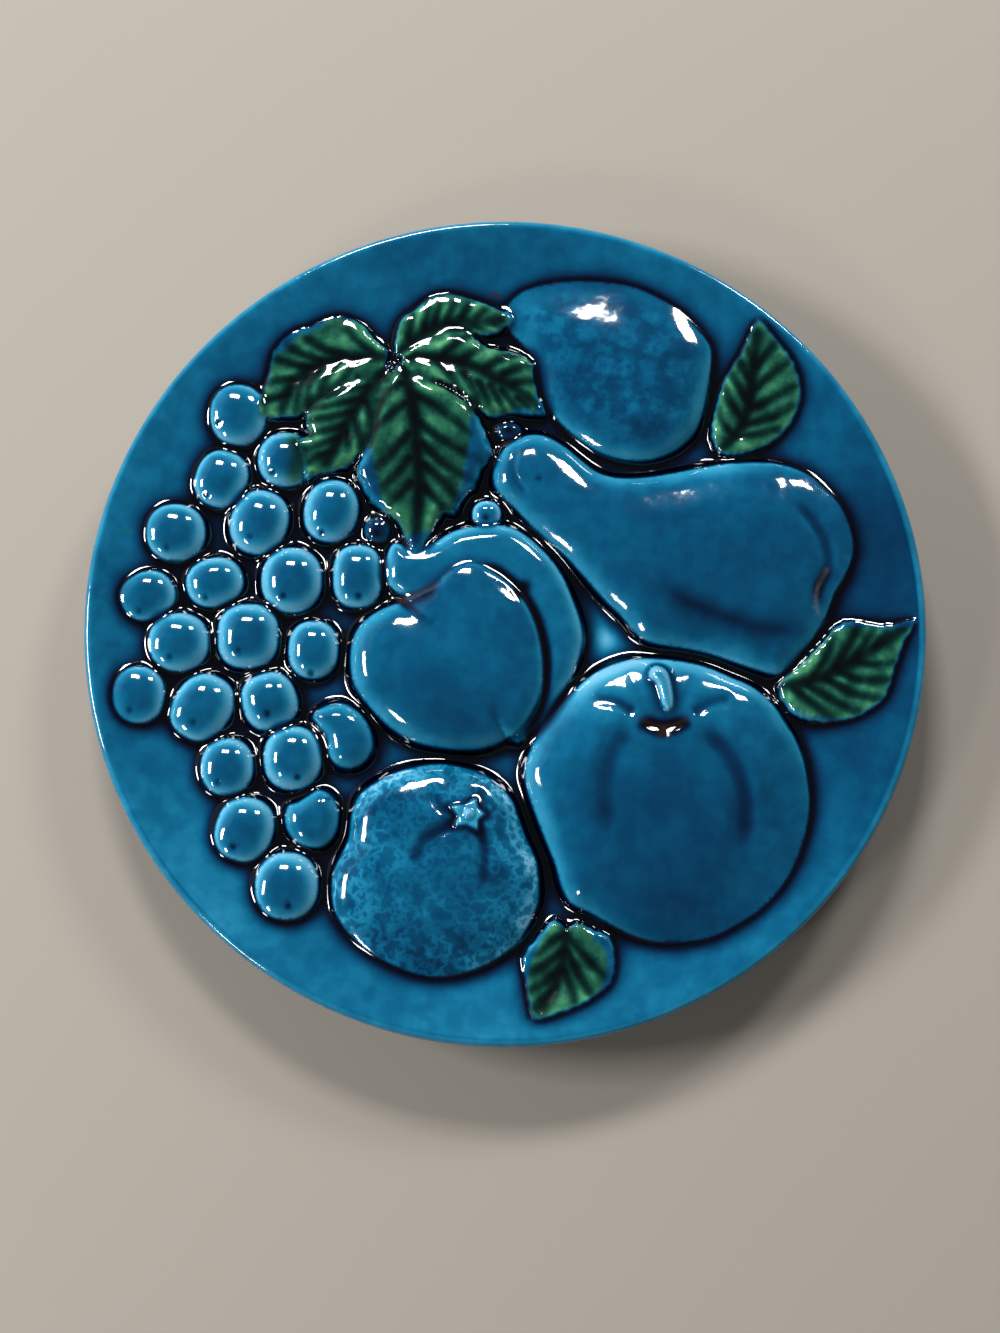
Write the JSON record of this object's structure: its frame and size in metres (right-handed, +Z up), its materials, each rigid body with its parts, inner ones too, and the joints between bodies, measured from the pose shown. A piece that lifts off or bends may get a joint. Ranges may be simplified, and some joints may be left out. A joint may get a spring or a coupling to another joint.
{
  "type": "decorative wall plate",
  "caption": "Round glazed ceramic wall plate with a relief of grapes, leaves and mixed fruit inside a rolled rim, and a foot ring at the back for hanging.",
  "frame": {"origin": "hanging point: the ground face of the foot ring at its top, midway between the two wire holes", "axes": "-Y out of the wall, the way the decorated face looks; +Z up; +X to the viewer's right"},
  "size_m": [0.26, 0.0242, 0.26],
  "materials": {
    "glaze": "gloss"
  },
  "bodies": {
    "root": {"plate": "glaze"}
  },
  "joints": []
}
